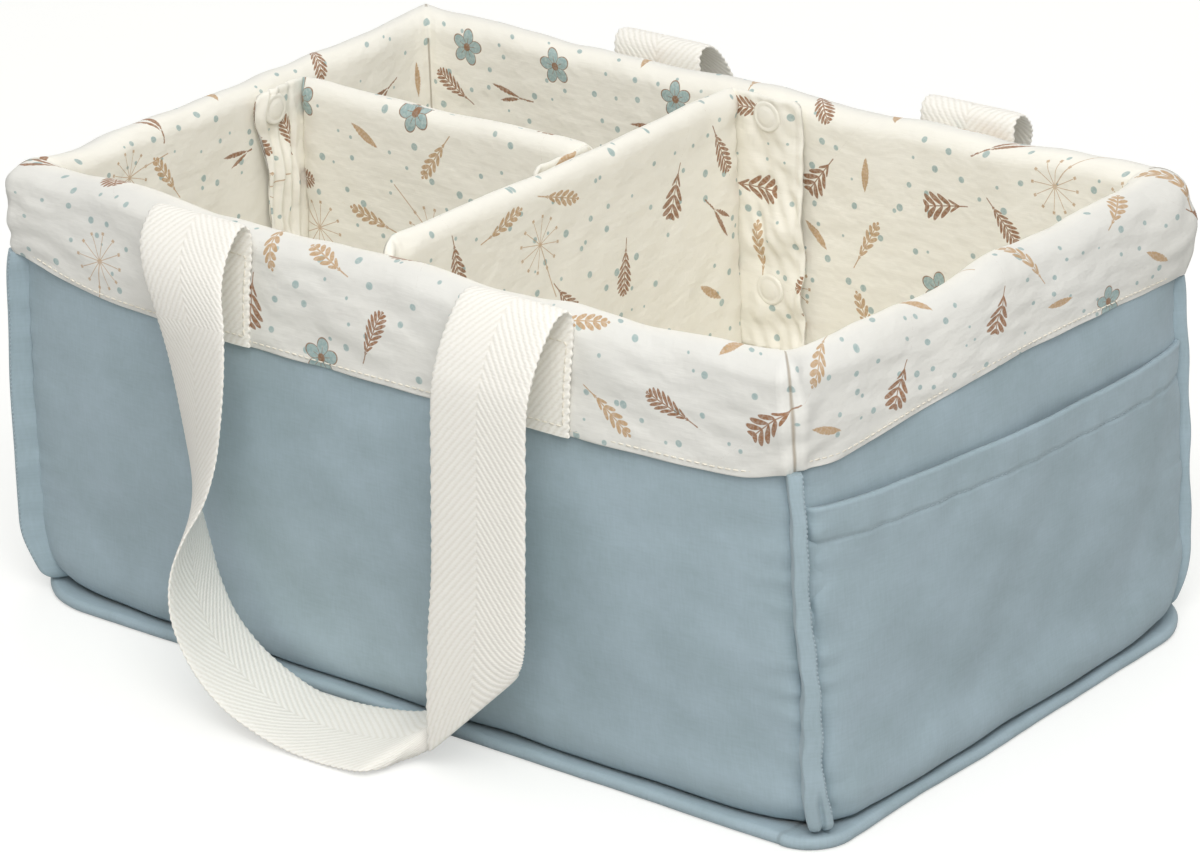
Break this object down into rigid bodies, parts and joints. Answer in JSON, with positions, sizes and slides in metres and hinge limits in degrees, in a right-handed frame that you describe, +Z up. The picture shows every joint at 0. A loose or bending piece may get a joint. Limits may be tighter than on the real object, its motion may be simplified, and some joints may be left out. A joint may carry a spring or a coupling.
{
  "type": "diaper caddy",
  "caption": "Open padded cotton caddy with a fold-over printed lining, webbing handles and snap-in dividers that lift out.",
  "frame": {"origin": "middle of the underside, on the surface it stands on", "axes": "+Z up, +X along the long side towards the end whose pocket the picture shows, the front long side at -Y"},
  "size_m": [0.387, 0.3424, 0.1778],
  "materials": {
    "canvas": "plain woven cotton canvas, matte",
    "printed_cotton": "cotton with small printed flowers, sprigs and dots, matte",
    "webbing": "herringbone cotton webbing, matte",
    "wadding": "polyester wadding, hidden",
    "snap_plastic": "moulded plastic, satin",
    "board": "stiffening board, hidden"
  },
  "bodies": {
    "caddy": {"base_outer_panel": "canvas", "base_board": "board", "floor_pad": "wadding", "floor_lining": "printed_cotton", "base_welt": "canvas", "outer_panel_front": "canvas", "outer_panel_back": "canvas", "outer_panel_right": "canvas", "outer_panel_left": "canvas", "wall_pad_front": "wadding", "wall_pad_back": "wadding", "wall_pad_right": "wadding", "wall_pad_left": "wadding", "lining_front": "printed_cotton", "lining_back": "printed_cotton", "lining_right": "printed_cotton", "lining_left": "printed_cotton", "corner_seam_front_left": "canvas", "corner_seam_front_right": "canvas", "corner_seam_back_left": "canvas", "corner_seam_back_right": "canvas", "end_pocket_right": "canvas", "end_pocket_left": "canvas", "handle_front_left_sewn_end": "webbing", "handle_front_right_sewn_end": "webbing", "handle_back_left_sewn_end": "webbing", "handle_back_right_sewn_end": "webbing", "cross_back_flap_upper_snap_stud": "snap_plastic", "cross_back_flap_lower_snap_stud": "snap_plastic", "cross_front_flap_upper_snap_stud": "snap_plastic", "cross_front_flap_lower_snap_stud": "snap_plastic", "long_left_flap_upper_snap_stud": "snap_plastic", "long_left_flap_lower_snap_stud": "snap_plastic"},
    "handle_front": {"handle_front_strap": "webbing"},
    "handle_back": {"handle_back_strap": "webbing"},
    "cross_divider": {"cross_divider_cover": "printed_cotton", "cross_divider_pad": "wadding", "long_right_flap_upper_snap_stud": "snap_plastic", "long_right_flap_lower_snap_stud": "snap_plastic"},
    "long_divider": {"long_divider_cover": "printed_cotton", "long_divider_pad": "wadding"},
    "cross_back_tab": {"cross_back_flap": "printed_cotton", "cross_back_flap_upper_snap_cap": "snap_plastic", "cross_back_flap_lower_snap_cap": "snap_plastic"},
    "cross_front_tab": {"cross_front_flap": "printed_cotton", "cross_front_flap_upper_snap_cap": "snap_plastic", "cross_front_flap_lower_snap_cap": "snap_plastic"},
    "long_left_tab": {"long_left_flap": "printed_cotton", "long_left_flap_upper_snap_cap": "snap_plastic", "long_left_flap_lower_snap_cap": "snap_plastic"},
    "long_right_tab": {"long_right_flap": "printed_cotton", "long_right_flap_upper_snap_cap": "snap_plastic", "long_right_flap_lower_snap_cap": "snap_plastic"}
  },
  "joints": [
    {"name": "handle_front_hinge", "type": "hinge", "parent": "caddy", "child": "handle_front", "pos_m": [-0.003, -0.1217, 0.177], "axis": [-1, 0, 0], "range_deg": [0, 175]},
    {"name": "handle_back_hinge", "type": "hinge", "parent": "caddy", "child": "handle_back", "pos_m": [0.0095, 0.1217, 0.177], "axis": [1, 0, 0], "range_deg": [0, 175]},
    {"name": "cross_divider_lift", "type": "slide", "parent": "caddy", "child": "cross_divider", "axis": [0, 0, 1], "range_m": [0, 0.17]},
    {"name": "long_divider_lift", "type": "slide", "parent": "caddy", "child": "long_divider", "axis": [0, 0, 1], "range_m": [0, 0.17]},
    {"name": "cross_back_tab_hinge", "type": "hinge", "parent": "cross_divider", "child": "cross_back_tab", "pos_m": [-0.00506, 0.0991, 0.12], "axis": [0, 0, -1], "range_deg": [0, 60]},
    {"name": "cross_front_tab_hinge", "type": "hinge", "parent": "cross_divider", "child": "cross_front_tab", "pos_m": [-0.00506, -0.0991, 0.12], "axis": [0, 0, 1], "range_deg": [0, 60]},
    {"name": "long_left_tab_hinge", "type": "hinge", "parent": "long_divider", "child": "long_left_tab", "pos_m": [-0.1621, 0.01872, 0.12], "axis": [0, 0, 1], "range_deg": [0, 60]},
    {"name": "long_right_tab_hinge", "type": "hinge", "parent": "long_divider", "child": "long_right_tab", "pos_m": [-0.0199, 0.01872, 0.12], "axis": [0, 0, -1], "range_deg": [0, 60]}
  ]
}
